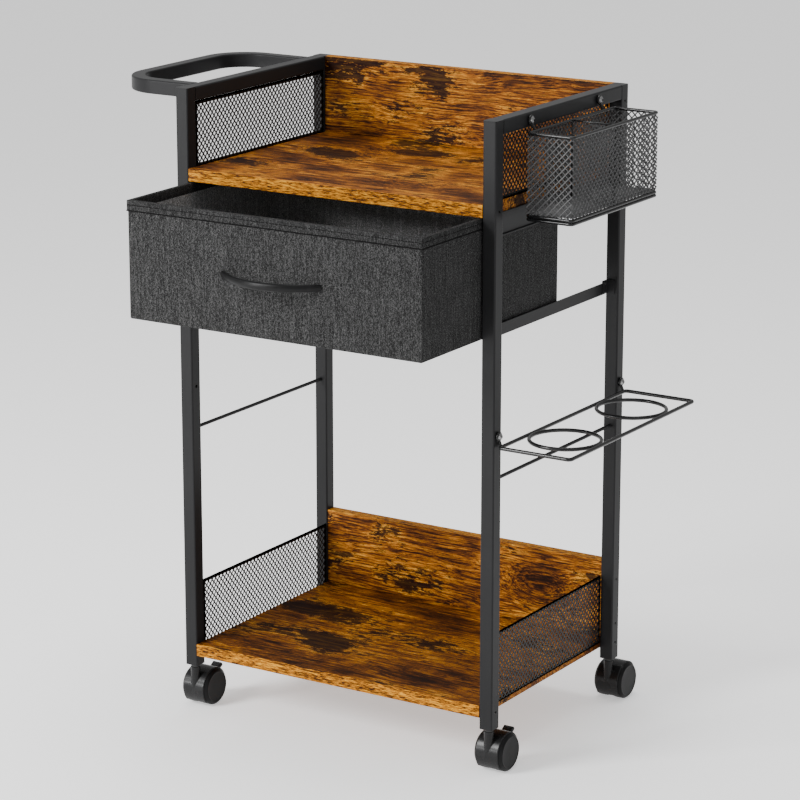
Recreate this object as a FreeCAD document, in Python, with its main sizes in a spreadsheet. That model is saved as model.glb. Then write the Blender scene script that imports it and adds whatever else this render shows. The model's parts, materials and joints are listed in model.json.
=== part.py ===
import FreeCAD, Part
import math
import os

import Sketcher

Vector = FreeCAD.Vector
Rotation = FreeCAD.Rotation
Placement = FreeCAD.Placement

doc = FreeCAD.newDocument("printer_stand")
sheet = doc.addObject("Spreadsheet::Sheet", "dims")
nodes = []


class Size:
    """A length that is known both as a spreadsheet expression and as a number."""

    def __init__(self, text, value):
        self.text = text
        self.value = value

    def __add__(self, other):
        return combine(self, "+", other, self.value + number(other))

    def __radd__(self, other):
        return combine(other, "+", self, number(other) + self.value)

    def __sub__(self, other):
        return combine(self, "-", other, self.value - number(other))

    def __rsub__(self, other):
        return combine(other, "-", self, number(other) - self.value)

    def __mul__(self, other):
        return combine(self, "*", other, self.value * number(other))

    def __rmul__(self, other):
        return combine(other, "*", self, number(other) * self.value)

    def __truediv__(self, other):
        return combine(self, "/", other, self.value / number(other))

    def __neg__(self):
        return Size(f"(-{self.text})", -self.value)


def number(size):
    return size.value if isinstance(size, Size) else size


def text(size):
    return size.text if isinstance(size, Size) else repr(size)


def combine(left, sign, right, value):
    return Size(f"({text(left)} {sign} {text(right)})", value)


def cell(alias, value, meaning):
    """Adds one driving dimension to the spreadsheet and returns it as a Size."""
    row = cell.row = getattr(cell, "row", 0) + 1
    sheet.set(f"A{row}", meaning)
    sheet.set(f"B{row}", str(value))
    sheet.setAlias(f"B{row}", alias)
    return Size(f"dims.{alias}", value)


# Frame
frame_width = cell("frame_width", 460, "width over the posts")
frame_depth = cell("frame_depth", 324, "depth over the posts")
post_height = cell("post_height", 753, "height of a post")
tube = cell("tube", 18, "side of the square tube")
tube_wall = cell("tube_wall", 1.2, "wall of the tube")
tube_corner = cell("tube_corner", 2, "outer corner radius of the tube")
post_bottom = cell("post_bottom", 59, "height of the posts' feet above the floor")
brace_height = cell("brace_height", 315, "height of the brace rods above the posts' feet")
brace_radius = cell("brace_radius", 2.3, "radius of a brace rod")
# Boards
board = cell("board", 16, "thickness of every board")
lower_shelf_top = cell("lower_shelf_top", 30, "top of the lower shelf above the posts' feet")
upper_shelf_top = cell("upper_shelf_top", 653, "top of the upper shelf above the posts' feet")
lower_back_height = cell("lower_back_height", 102, "height of the lower back board")
edge_ease = cell("edge_ease", 0.6, "radius on the long edges of a board")
# Screws and bolts
screw_radius = cell("screw_radius", 2, "radius of a board screw")
screw_hole = cell("screw_hole", 2.2, "radius of the holes for board screws and bolts")
screw_bite = cell("screw_bite", 22, "depth of a screw hole in a board's end")
lower_back_low = cell("lower_back_low", 48, "lower screw of the lower back board")
lower_back_high = cell("lower_back_high", 108, "upper screw of the lower back board")
upper_back_low = cell("upper_back_low", 673, "lower screw of the upper back board")
upper_back_high = cell("upper_back_high", 732.6, "upper screw of the upper back board")
holder_bolt_height = cell("holder_bolt_height", 372, "height of the cup holder's bolts")
basket_bolt_span = cell("basket_bolt_span", 168, "distance between the basket's bolts")
# Mesh panels and drawer guides
panel_sheet = cell("panel_sheet", 0.8, "thickness of a panel's infill")
panel_border = cell("panel_border", 5, "width of a panel's folded border")
panel_edge = cell("panel_edge", 1.5, "thickness of a panel's folded border")
lower_panel_bottom = cell("lower_panel_bottom", 20, "bottom of a lower panel")
lower_panel_top = cell("lower_panel_top", 113, "top of a lower panel")
upper_panel_bottom = cell("upper_panel_bottom", 651.5, "bottom of an upper panel")
guide_height = cell("guide_height", 28, "height of the guide plate under the upper shelf")
guide_plate = cell("guide_plate", 1.5, "thickness of the guide plate")
guide_lip = cell("guide_lip", 4, "width of the guide plate's lower lip")
runner_bottom = cell("runner_bottom", 487, "underside of a drawer runner")
runner_height = cell("runner_height", 14.5, "height of a drawer runner")
runner_plate = cell("runner_plate", 1.2, "thickness of a drawer runner")
runner_ledge = cell("runner_ledge", 14, "width of the ledge under the drawer")
runner_gap = cell("runner_gap", 2.5, "gap between a runner's end and a post")
# Push handle
handle_reach = cell("handle_reach", 119.2, "reach of the push handle beyond the frame")
handle_span = cell("handle_span", 263, "width over the push handle's legs")
handle_bend = cell("handle_bend", 49, "centre line radius of the push handle's bends")
# Drawer
drawer_width = cell("drawer_width", 419, "outside width of the drawer")
drawer_depth = cell("drawer_depth", 317, "outside depth of the drawer")
drawer_height = cell("drawer_height", 147, "outside height of the drawer")
drawer_wall = cell("drawer_wall", 4, "thickness of the drawer's sides")
drawer_out = cell("drawer_out", 130, "how far the drawer stands open at rest")
drawer_lift = cell("drawer_lift", 0.3, "clearance between the drawer and its runners")
pull_span = cell("pull_span", 140, "length of the drawer's pull")
pull_reach = cell("pull_reach", 31, "reach of the pull's centre line")
pull_tall = cell("pull_tall", 10, "height of the pull's bar")
pull_thick = cell("pull_thick", 5, "thickness of the pull's bar")
pull_height = cell("pull_height", 72.5, "height of the pull above the drawer's bottom")
pull_screw_radius = cell("pull_screw_radius", 1.5, "radius of the pull's screws")
# Basket
basket_gap = cell("basket_gap", 8, "distance from the frame to the basket's inner rim")
basket_width = cell("basket_width", 61, "width of the basket's rim, centre to centre")
basket_length = cell("basket_length", 211, "length of the basket's rim, centre to centre")
basket_shift = cell("basket_shift", 3, "how far the basket sits behind the middle")
basket_rim_height = cell("basket_rim_height", 731, "height of the basket's rim")
basket_base_height = cell("basket_base_height", 632.2, "height of the upper base wire")
basket_foot_height = cell("basket_foot_height", 628.1, "height of the lower base wire")
rim_radius = cell("rim_radius", 2.1, "radius of the basket's rim wire")
base_radius = cell("base_radius", 2, "radius of the basket's base wires")
basket_sheet = cell("basket_sheet", 1.2, "thickness of the basket's mesh walls")
basket_corner = cell("basket_corner", 4, "corner radius of the basket")
# Cup holder
holder_gap = cell("holder_gap", 5.3, "distance from the frame to the holder's inner wire")
holder_width = cell("holder_width", 97, "width of the cup holder, centre to centre")
holder_length = cell("holder_length", 317, "length of the cup holder, centre to centre")
holder_height = cell("holder_height", 359.5, "height of the cup holder's wires")
holder_wire = cell("holder_wire", 2.4, "radius of the cup holder's wires")
holder_corner = cell("holder_corner", 5, "corner radius of the cup holder")
ring_radius = cell("ring_radius", 43.6, "centre line radius of a cup ring")
ring_span = cell("ring_span", 168, "distance between the centres of the cup rings")
loop_radius = cell("loop_radius", 4.3, "centre line radius of a hanging loop")
loop_wire = cell("loop_wire", 1.7, "radius of a hanging loop's wire")
# Casters
wheel_radius = cell("wheel_radius", 24, "radius of a caster wheel")
wheel_inner = cell("wheel_inner", 4.6, "inner face of a wheel from the caster's middle")
wheel_shoulder = cell("wheel_shoulder", 17.2, "end of a wheel's tread")
wheel_outer = cell("wheel_outer", 20, "outer face of a wheel")
wheel_face = cell("wheel_face", 20.4, "radius of a wheel's flat outer face")
caster_trail = cell("caster_trail", 19.4, "distance from the swivel to the axle")
hood_radius = cell("hood_radius", 25.7, "outside radius of the hood")
hood_inner = cell("hood_inner", 24.6, "inside radius of the hood")
hood_half = cell("hood_half", 16, "half the width of the hood")
hood_ease = cell("hood_ease", 1, "radius on the hood's outer edges")
web_half = cell("web_half", 4.1, "half the thickness of the web between the wheels")
boss_radius = cell("boss_radius", 6.2, "radius of the swivel boss")
boss_top = cell("boss_top", 4, "distance from the posts' feet down to the boss")
stem_radius = cell("stem_radius", 4, "radius of a caster's stem")
stem_drop = cell("stem_drop", 14.5, "depth of the stem's lower end below the posts' feet")
stem_rise = cell("stem_rise", 17, "height of the stem's upper end above the posts' feet")
axle_radius = cell("axle_radius", 2.5, "radius of an axle")
axle_half = cell("axle_half", 17.6, "half the length of an axle")
running = cell("running", 0.05, "radial clearance of a running fit")
brake_half = cell("brake_half", 7.2, "half the width of a brake tab")
brake_arm = cell("brake_arm", 2.4, "half the width of a brake arm")

# Where the frame stands: the floor is at Z 0 and the origin is under the middle of the whole object.
right_reach = holder_gap + holder_width + holder_wire
front_reach = drawer_out + pull_reach + pull_thick / 2
rear_reach = caster_trail + hood_radius - tube / 2
centre_x = (handle_reach - right_reach) / 2
centre_y = (front_reach - rear_reach) / 2
inner_half = frame_width / 2 - tube
front = centre_y - frame_depth / 2
rear = centre_y + frame_depth / 2
between_posts = frame_depth - 2 * tube
SIDES = {"left": -1, "right": 1}
CORNERS = {
    "front_left": (-1, -1),
    "front_right": (1, -1),
    "rear_left": (-1, 1),
    "rear_right": (1, 1),
}


def above_feet(height):
    return post_bottom + height


def bind(feature, prop, size):
    feature.setExpression(prop, text(size))


def place(feature, x, y, z, rotation=None):
    """Turns a feature and binds its position to the spreadsheet."""
    feature.Placement = Placement(Vector(number(x), number(y), number(z)), rotation or Rotation())
    for axis, size in zip("xyz", (x, y, z)):
        bind(feature, f"Placement.Base.{axis}", size)


def new_body(label, x, y, z, rotation=None):
    body = doc.addObject("PartDesign::Body", label)
    body.Label = label
    place(body, x, y, z, rotation)
    nodes.append(body)
    return body


def new_sketch(body, role, offset=None):
    sketch = body.newObject("Sketcher::SketchObject", body.Name + "_sketch")
    plane = next(item for item in body.Origin.OriginFeatures if item.Role == role)
    sketch.AttachmentSupport = [(plane, "")]
    sketch.MapMode = "FlatFace"
    if offset is not None:
        bind(sketch, "AttachmentOffset.Base.z", offset)
    return sketch


def constrain(sketch, kind, *parts):
    """Adds a constraint whose last part is a size, bound to the spreadsheet."""
    index = sketch.addConstraint(Sketcher.Constraint(kind, *parts[:-1], number(parts[-1])))
    if isinstance(parts[-1], Size):
        sketch.setExpression(f"Constraints[{index}]", text(parts[-1]))


def polygon(sketch, points):
    """A closed outline of straight lines, each corner held from the origin."""
    corners = [Vector(number(x), number(y), 0) for x, y in points]
    count = len(corners)
    lines = []
    for i in range(count):
        segment = Part.LineSegment(corners[i], corners[(i + 1) % count])
        lines.append(sketch.addGeometry(segment, False))
    for i in range(count):
        follower = lines[(i + 1) % count]
        sketch.addConstraint(Sketcher.Constraint("Coincident", lines[i], 2, follower, 1))
    for line, (x, y) in zip(lines, points):
        hold_point(sketch, line, 1, x, y)


def hold_point(sketch, geometry, end, x, y):
    """Holds one point of a sketch at x, y from its origin."""
    for kind, size in (("DistanceX", x), ("DistanceY", y)):
        if isinstance(size, Size) or size:
            constrain(sketch, kind, -1, 1, geometry, end, size)
        else:
            axis = -2 if kind == "DistanceX" else -1
            sketch.addConstraint(Sketcher.Constraint("PointOnObject", geometry, end, axis))


def rectangle(sketch, x, y, width, height):
    polygon(sketch, [(x, y), (x + width, y), (x + width, y + height), (x, y + height)])


def centred_rectangle(sketch, width, height):
    rectangle(sketch, -width / 2, -height / 2, width, height)


def circle(sketch, x, y, radius):
    shape = Part.Circle(Vector(number(x), number(y), 0), Vector(0, 0, 1), number(radius))
    index = sketch.addGeometry(shape, False)
    constrain(sketch, "Radius", index, radius)
    hold_point(sketch, index, 3, x, y)


def rounded_path(sketch, corners, radius, closed):
    """Straight runs along the sketch's axes, joined by equal tangent arcs."""
    points = [Vector(number(x), number(y), 0) for x, y in corners]
    count = len(points)
    bend = number(radius)
    runs = count if closed else count - 1
    ways = [(points[(i + 1) % count] - points[i]).normalize() for i in range(runs)]
    lines = []
    for i in range(runs):
        bent_start = closed or i > 0
        bent_end = closed or i < runs - 1
        start = points[i] + ways[i] * (bend if bent_start else 0)
        end = points[(i + 1) % count] - ways[i] * (bend if bent_end else 0)
        lines.append(sketch.addGeometry(Part.LineSegment(start, end), False))
    arcs = []
    for i in range(runs if closed else runs - 1):
        before, after = ways[i], ways[(i + 1) % runs]
        corner = points[(i + 1) % count]
        middle = corner - before * bend + after * bend
        left_turn = before.cross(after).z > 0
        first = -after if left_turn else before
        start_angle = math.atan2(first.y, first.x)
        whole = Part.Circle(middle, Vector(0, 0, 1), bend)
        arc = Part.ArcOfCircle(whole, start_angle, start_angle + math.pi / 2)
        index = sketch.addGeometry(arc, False)
        arcs.append(index)
        near, far = (1, 2) if left_turn else (2, 1)
        follower = lines[(i + 1) % runs]
        sketch.addConstraint(Sketcher.Constraint("Tangent", lines[i], 2, index, near))
        sketch.addConstraint(Sketcher.Constraint("Tangent", index, far, follower, 1))
    for index in arcs[1:]:
        sketch.addConstraint(Sketcher.Constraint("Equal", arcs[0], index))
    constrain(sketch, "Radius", arcs[0], radius)
    for i, line in enumerate(lines):
        level = abs(ways[i].y) < 0.5
        sketch.addConstraint(Sketcher.Constraint("Horizontal" if level else "Vertical", line))
        x, y = corners[i]
        constrain(sketch, "DistanceY" if level else "DistanceX", -1, 1, line, 1, y if level else x)
    if not closed:
        open_ends = ((lines[0], 1, corners[0], ways[0]), (lines[-1], 2, corners[-1], ways[-1]))
        for line, end, (x, y), way in open_ends:
            level = abs(way.y) < 0.5
            constrain(sketch, "DistanceX" if level else "DistanceY", -1, 1, line, end, x if level else y)


def rounded_rectangle(sketch, width, height, radius):
    x, y = width / 2, height / 2
    rounded_path(sketch, [(-x, -y), (x, -y), (x, y), (-x, y)], radius, True)


def pad(body, sketch, length, midplane=False, backwards=False):
    feature = body.newObject("PartDesign::Pad", body.Name + "_pad")
    feature.Profile = sketch
    bind(feature, "Length", length)
    feature.Midplane = midplane
    feature.Reversed = backwards
    return feature


def pocket(body, sketch, length=None, midplane=False, forwards=False):
    """Cuts against the sketch's normal, or along it if forwards; right through if no length is given."""
    feature = body.newObject("PartDesign::Pocket", body.Name + "_pocket")
    feature.Profile = sketch
    if length is None:
        feature.Type = 1
    else:
        bind(feature, "Length", length)
    feature.Midplane = midplane
    feature.Reversed = forwards
    return feature


def revolve(body, sketch, axis):
    feature = body.newObject("PartDesign::Revolution", body.Name + "_revolution")
    feature.Profile = sketch
    feature.ReferenceAxis = (sketch, [axis])
    feature.Angle = 360
    return feature


def pipe(body, profile, path):
    feature = body.newObject("PartDesign::AdditivePipe", body.Name + "_pipe")
    feature.Profile = profile
    feature.Spine = (path, [])
    return feature


def round_edges(body, base, radius, wanted):
    """Rounds the edges of the base feature that the test picks."""
    doc.recompute()
    names = [f"Edge{i + 1}" for i, edge in enumerate(base.Shape.Edges) if wanted(edge)]
    feature = body.newObject("PartDesign::Fillet", body.Name + "_fillet")
    feature.Base = (base, names)
    bind(feature, "Radius", radius)
    return feature


def along(axis):
    """A test for straight edges that run along one axis."""

    def wanted(edge):
        straight = edge.Curve.TypeId == "Part::GeomLine"
        return straight and abs(edge.tangentAt(edge.FirstParameter).dot(axis)) > 0.99

    return wanted


def square_tube(label, length, x, y, z, rotation=None, closed_end=0):
    """A square tube that stands on its local XY plane, hollow from below."""
    body = new_body(label, x, y, z, rotation)
    outline = new_sketch(body, "XY_Plane")
    centred_rectangle(outline, tube, tube)
    outside = pad(body, outline, length)
    round_edges(body, outside, tube_corner, along(Vector(0, 0, 1)))
    bore = new_sketch(body, "XY_Plane")
    centred_rectangle(bore, tube - 2 * tube_wall, tube - 2 * tube_wall)
    pocket(body, bore, length - closed_end, forwards=True)
    return body


def cross_holes(body, heights, across="YZ_Plane"):
    """Round holes right through a standing tube, along local X."""
    sketch = new_sketch(body, across)
    for height in heights:
        circle(sketch, 0, height, screw_hole)
    pocket(body, sketch, midplane=True)


def group(label, shapes):
    """Identical loose pieces that share one node."""
    feature = doc.addObject("Part::Feature", label)
    feature.Label = label
    feature.Shape = Part.makeCompound(shapes)
    nodes.append(feature)
    return feature


def wire_loop(label, width, depth, bend, wire, x, y, z):
    """A closed loop of round wire with rounded corners, flat in its local XY plane."""
    body = new_body(label, x, y, z)
    path = new_sketch(body, "XY_Plane")
    rounded_rectangle(path, width, depth, bend)
    profile = new_sketch(body, "XZ_Plane")
    circle(profile, width / 2, 0, wire)
    pipe(body, profile, path)
    return body


# Frame pieces


def screw_heights(rear_post):
    """Heights of a post's board screws above its foot."""
    shelves = [lower_shelf_top - board / 2, upper_shelf_top - board / 2]
    backs = [lower_back_low, lower_back_high, upper_back_low, upper_back_high]
    return shelves + backs if rear_post else shelves


def make_posts():
    for name, (side, end) in CORNERS.items():
        x = centre_x + side * (frame_width - tube) / 2
        y = centre_y + end * (frame_depth - tube) / 2
        body = square_tube(f"{name}_post", post_height, x, y, post_bottom, closed_end=tube_wall)
        cross_holes(body, screw_heights(end > 0) + [holder_bolt_height])


def make_top_rails():
    along_y = Rotation(Vector(1, 0, 0), -90)
    for name, side in SIDES.items():
        x = centre_x + side * (frame_width - tube) / 2
        z = above_feet(post_height) - tube / 2
        body = square_tube(f"{name}_top_rail", between_posts, x, front + tube, z, along_y)
        if side > 0:
            sketch = new_sketch(body, "YZ_Plane")
            for end in (-1, 1):
                circle(sketch, 0, between_posts / 2 + end * basket_bolt_span / 2, screw_hole)
            pocket(body, sketch, midplane=True)


def make_brace_rods():
    rods = []
    for side in SIDES.values():
        start = Vector((centre_x + side * (frame_width - tube) / 2).value, (front + tube).value,
                       above_feet(brace_height).value)
        rods.append(Part.makeCylinder(brace_radius.value, between_posts.value, start, Vector(0, 1, 0)))
    group("brace_rods", rods)


def make_board(label, depth, height, y, z, screw_rows):
    """A board that fills the frame's width, with blind screw holes at screw_rows on its end faces."""
    width = 2 * inner_half
    body = new_body(label, centre_x - inner_half, y, z)
    outline = new_sketch(body, "XY_Plane")
    rectangle(outline, 0, 0, width, depth)
    slab = pad(body, outline, height)
    round_edges(body, slab, edge_ease, along(Vector(1, 0, 0)))
    for offset, forwards in ((0, True), (width, False)):
        sketch = new_sketch(body, "YZ_Plane", offset)
        for row_y, row_z in screw_rows:
            circle(sketch, row_y, row_z, screw_hole)
        pocket(body, sketch, screw_bite, forwards=forwards)


def make_shelves():
    for name, top in (("lower", lower_shelf_top), ("upper", upper_shelf_top)):
        rows = [(tube / 2, board / 2), (frame_depth - tube / 2, board / 2)]
        make_board(f"{name}_shelf", frame_depth, board, front, above_feet(top) - board, rows)


def make_back_boards():
    backs = (
        ("lower", lower_shelf_top, lower_back_height, (lower_back_low, lower_back_high)),
        ("upper", upper_shelf_top, post_height - upper_shelf_top, (upper_back_low, upper_back_high)),
    )
    for name, bottom, height, screws in backs:
        rows = [(board - tube / 2, screw - bottom) for screw in screws]
        make_board(f"{name}_back_board", board, height, rear - board, above_feet(bottom), rows)


def make_board_screws():
    """Flush socket screws that run through the posts into the boards' ends."""
    socket_depth, socket_radius, sunk = 2.5, 1.3, 0.3
    length = tube.value + screw_bite.value - 1.5
    screws = []
    for side, end in CORNERS.values():
        for height in screw_heights(end > 0):
            outside = centre_x.value + side * (frame_width.value / 2 - sunk)
            y = (centre_y + end * (frame_depth - tube) / 2).value
            head = Vector(outside, y, above_feet(height).value)
            shank = Part.makeCylinder(screw_radius.value, length, head, Vector(-side, 0, 0))
            socket = Part.makeCylinder(socket_radius, socket_depth, head, Vector(-side, 0, 0))
            screws.append(shank.cut(socket))
    group("board_screws", screws)


def make_mesh_panel(label, side, bottom, top):
    """A sheet panel with a folded border, set against the boards' ends."""
    x = centre_x + side * (inner_half + 0.1)
    body = new_body(label, x, front + tube, above_feet(bottom))
    sheet_outline = new_sketch(body, "YZ_Plane")
    rectangle(sheet_outline, 0, 0, between_posts, top - bottom)
    pad(body, sheet_outline, panel_edge, backwards=side < 0)
    recess = new_sketch(body, "YZ_Plane", side * panel_edge)
    recess_length = between_posts - 2 * panel_border
    rectangle(recess, panel_border, panel_border, recess_length, top - bottom - 2 * panel_border)
    pocket(body, recess, panel_edge - panel_sheet, forwards=side < 0)


def make_mesh_panels():
    upper_top = post_height - tube
    for name, side in SIDES.items():
        make_mesh_panel(f"upper_{name}_mesh_panel", side, upper_panel_bottom, upper_top)
        make_mesh_panel(f"lower_{name}_mesh_panel", side, lower_panel_bottom, lower_panel_top)


def make_upper_guides():
    """Plates with an out-turned lip that close the frame's sides above the drawer."""
    for name, side in SIDES.items():
        z = above_feet(upper_shelf_top) - board - guide_height
        body = new_body(f"{name}_upper_guide", centre_x + side * inner_half, front + tube, z)
        outline = new_sketch(body, "XZ_Plane")
        plate, lip = side * guide_plate, side * guide_lip
        polygon(outline, [(0, 0), (lip, 0), (lip, guide_plate), (plate, guide_plate), (plate, guide_height),
                          (0, guide_height)])
        pad(body, outline, between_posts, backwards=True)


def make_runners():
    """Angle runners that carry the drawer on an inward ledge."""
    for name, side in SIDES.items():
        body = new_body(f"{name}_drawer_runner", centre_x + side * inner_half, front + tube + runner_gap,
                        above_feet(runner_bottom))
        outline = new_sketch(body, "XZ_Plane")
        plate, ledge = side * runner_plate, -side * runner_ledge
        polygon(outline, [(ledge, 0), (plate, 0), (plate, runner_height), (0, runner_height),
                          (0, runner_plate), (ledge, runner_plate)])
        pad(body, outline, between_posts - 2 * runner_gap, backwards=True)


def make_runner_brackets():
    """Small angles on the posts, each with a round rivet head, that hold the runners' ends."""
    leg, thick, tall, rivet, dome, gap = 12.0, 1.2, 17.0, 2.6, 1.6, 0.05
    brackets = []
    for side, end in CORNERS.values():
        x = centre_x.value + side * (inner_half.value + runner_plate.value + gap)
        face = centre_y.value + end * between_posts.value / 2
        z = above_feet(runner_bottom).value + 1
        flank = upright(x, x + side * thick, face, face - end * leg, z, tall)
        foot = upright(x, x + side * leg, face, face - end * thick, z, tall)
        seat = Vector(x + side * thick, face - end * leg / 2, z + tall - rivet - 1)
        knob = round_head(seat, side, rivet, dome)
        brackets.append(flank.fuse([foot, knob]).removeSplitter())
    group("runner_brackets", brackets)


def upright(x1, x2, y1, y2, z, height):
    """An upright plate between two corners given in any order."""
    corner = Vector(min(x1, x2), min(y1, y2), z)
    return Part.makeBox(abs(x2 - x1), abs(y2 - y1), height, corner)


def round_head(seat, side, radius, height):
    """A domed head that stands on its seat and faces outwards."""
    outward = Vector(side, 0, 0)
    ball = (radius**2 + height**2) / (2 * height)
    dome = Part.makeSphere(ball, seat + outward * (height - ball))
    return dome.common(Part.makeCylinder(radius, height, seat, outward))


def make_push_handle():
    body = new_body("push_handle", centre_x - frame_width / 2, centre_y, above_feet(post_height) - tube / 2)
    path = new_sketch(body, "XY_Plane")
    reach = tube / 2 - handle_reach
    half = (handle_span - tube) / 2
    rounded_path(path, [(0, -half), (reach, -half), (reach, half), (0, half)], handle_bend, False)
    for shrink, corner in ((0, tube_corner), (tube_wall, tube_corner - tube_wall)):
        profile = new_sketch(body, "YZ_Plane")
        size = tube / 2 - shrink
        low, high = -half - size, size - half
        rounded_path(profile, [(low, -size), (high, -size), (high, size), (low, size)], corner, True)
        kind = "PartDesign::SubtractivePipe" if shrink else "PartDesign::AdditivePipe"
        sweep = body.newObject(kind, "push_handle_pipe")
        sweep.Profile = profile
        sweep.Spine = (path, [])


# Basket and cup holder


def hanging_loop(bolt, wire_centre, wire):
    """A loop around a bolt, with a straight tail that stands on the wire that it carries."""
    ring = Part.makeTorus(loop_radius.value, loop_wire.value, bolt, Vector(1, 0, 0))
    start = bolt - Vector(0, 0, loop_radius.value)
    way = (wire_centre - start).normalize()
    reach = (wire_centre - start).Length - wire.value - 0.05
    return ring.fuse(Part.makeCylinder(loop_wire.value, reach, start, way))


def accessory_bolt(seat, side):
    """A domed bolt whose head sits on the seat and whose shank runs inwards."""
    head_radius, head_height, socket_radius, socket_depth = 4.4, 2.6, 1.6, 1.6
    shank = Part.makeCylinder(2.1, 14.0, seat, Vector(-side, 0, 0))
    crown = seat + Vector(side * head_height, 0, 0)
    corners = [crown + Vector(0, socket_radius * math.cos(turn), socket_radius * math.sin(turn))
               for turn in (i * math.pi / 3 for i in range(7))]
    socket = Part.Face(Part.makePolygon(corners)).extrude(Vector(-side * socket_depth, 0, 0))
    head = round_head(seat, side, head_radius, head_height)
    return head.fuse(shank).removeSplitter().cut(socket)


def make_basket():
    x = centre_x + frame_width / 2 + basket_gap + basket_width / 2
    y = centre_y + basket_shift
    wire_loop("basket_top_rim", basket_width, basket_length, basket_corner, rim_radius, x, y,
              above_feet(basket_rim_height))
    base_wires = []
    for name, height in (("upper", basket_base_height), ("lower", basket_foot_height)):
        base_wires.append(wire_loop(f"basket_{name}_base_wire", basket_width, basket_length, basket_corner,
                                    base_radius, x, y, above_feet(height)))
        nodes.remove(base_wires[-1])
    rims = doc.addObject("Part::Compound", "basket_base_rims")
    rims.Label = "basket_base_rims"
    rims.Links = base_wires
    nodes.append(rims)
    floor = basket_base_height + base_radius + 0.1
    height = basket_rim_height - rim_radius - 0.1 - floor
    shell = new_body("basket_mesh", x, y, above_feet(floor))
    outline = new_sketch(shell, "XY_Plane")
    rounded_rectangle(outline, basket_width + basket_sheet, basket_length + basket_sheet, basket_corner)
    pad(shell, outline, height)
    hollow = new_sketch(shell, "XY_Plane", basket_sheet)
    inside_width, inside_length = basket_width - basket_sheet, basket_length - basket_sheet
    rounded_rectangle(hollow, inside_width, inside_length, basket_corner - basket_sheet)
    pocket(shell, hollow, height, forwards=True)
    divider = new_body("basket_divider", x, y, above_feet(floor) + basket_sheet)
    plate = new_sketch(divider, "XY_Plane")
    centred_rectangle(plate, inside_width - 0.2, basket_sheet)
    pad(divider, plate, height - basket_sheet - 1)


def make_cup_holder():
    x = centre_x + frame_width / 2 + holder_gap + holder_width / 2
    z = above_feet(holder_height)
    wire_loop("cup_holder_frame", holder_width, holder_length, holder_corner, holder_wire, x, centre_y, z)
    for name, end in (("front", -1), ("rear", 1)):
        body = new_body(f"{name}_cup_ring", x, centre_y + end * ring_span / 2, z)
        section = new_sketch(body, "XZ_Plane")
        circle(section, ring_radius, 0, holder_wire)
        revolve(body, section, "V_Axis")


def make_hangers():
    """Loops and bolts that carry the basket and the cup holder, and two spare bolts on the left."""
    half_width = frame_width / 2
    seat = 2 * loop_wire + 0.3
    middle = loop_wire + 0.2
    bolts = []
    post_offset = (frame_depth - tube) / 2
    rail_middle = post_height - tube / 2
    hangers = {
        "basket_hooks": (basket_bolt_span / 2, rail_middle, basket_gap, basket_rim_height, rim_radius),
        "cup_holder_loops": (post_offset, holder_bolt_height, holder_gap, holder_height, holder_wire),
    }
    for label, (offset, bolt_height, gap, wire_height, wire) in hangers.items():
        loops = []
        for end in (-1, 1):
            y = (centre_y + end * offset).value
            z = above_feet(bolt_height).value
            bolt = Vector((centre_x + half_width + middle).value, y, z)
            carried = Vector((centre_x + half_width + gap).value, y, above_feet(wire_height).value)
            loops.append(hanging_loop(bolt, carried, wire))
            bolts.append(accessory_bolt(Vector((centre_x + half_width + seat).value, y, z), 1))
        group(label, loops)
    for end in (-1, 1):
        y = (centre_y + end * post_offset).value
        spare_seat = Vector((centre_x - half_width).value, y, above_feet(holder_bolt_height).value)
        bolts.append(accessory_bolt(spare_seat, -1))
    group("accessory_bolts", bolts)


# Drawer

drawer_front = front - drawer_out
drawer_bottom = above_feet(runner_bottom) + runner_plate + drawer_lift
pull_screw_offset = pull_span / 2 - 4.5


def drawer_panel(label, x, y, width, depth, height):
    """A plain panel that stands at the level of the drawer's underside."""
    body = new_body(label, x, y, drawer_bottom)
    outline = new_sketch(body, "XY_Plane")
    rectangle(outline, 0, 0, width, depth)
    pad(body, outline, height)
    return body


def make_drawer():
    left = centre_x - drawer_width / 2
    side_depth = drawer_depth - 2 * drawer_wall
    inside = drawer_front + drawer_wall
    face = drawer_panel("drawer_front_panel", left, drawer_front, drawer_width, drawer_wall, drawer_height)
    holes = new_sketch(face, "XZ_Plane")
    for side in (-1, 1):
        circle(holes, drawer_width / 2 + side * pull_screw_offset, pull_height, pull_screw_radius + 0.2)
    pocket(face, holes, drawer_wall)
    behind = inside + side_depth
    drawer_panel("drawer_back_panel", left, behind, drawer_width, drawer_wall, drawer_height)
    for name, x in (("left", left), ("right", left + drawer_width - drawer_wall)):
        drawer_panel(f"drawer_{name}_panel", x, inside, drawer_wall, side_depth, drawer_height)
    inner_width = drawer_width - 2 * drawer_wall
    drawer_panel("drawer_bottom_panel", left + drawer_wall, inside, inner_width, side_depth, drawer_wall)


def make_drawer_pull():
    """An arched bar whose ends are cut flush with the drawer's front."""
    half, rise = pull_span / 2, pull_reach
    bend = (half * half + rise * rise) / (2 * rise)
    body = new_body("drawer_pull", centre_x, drawer_front, drawer_bottom + pull_height)
    outline = new_sketch(body, "XY_Plane")
    circle(outline, 0, bend - rise, bend + pull_thick / 2)
    circle(outline, 0, bend - rise, bend - pull_thick / 2)
    ring = pad(body, outline, pull_tall, midplane=True)
    round_edges(body, ring, pull_thick * 0.36, lambda edge: edge.Curve.TypeId == "Part::GeomCircle")
    behind = new_sketch(body, "XY_Plane")
    rectangle(behind, -2 * bend, 0, 4 * bend, 3 * bend)
    pocket(body, behind, midplane=True)


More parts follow.
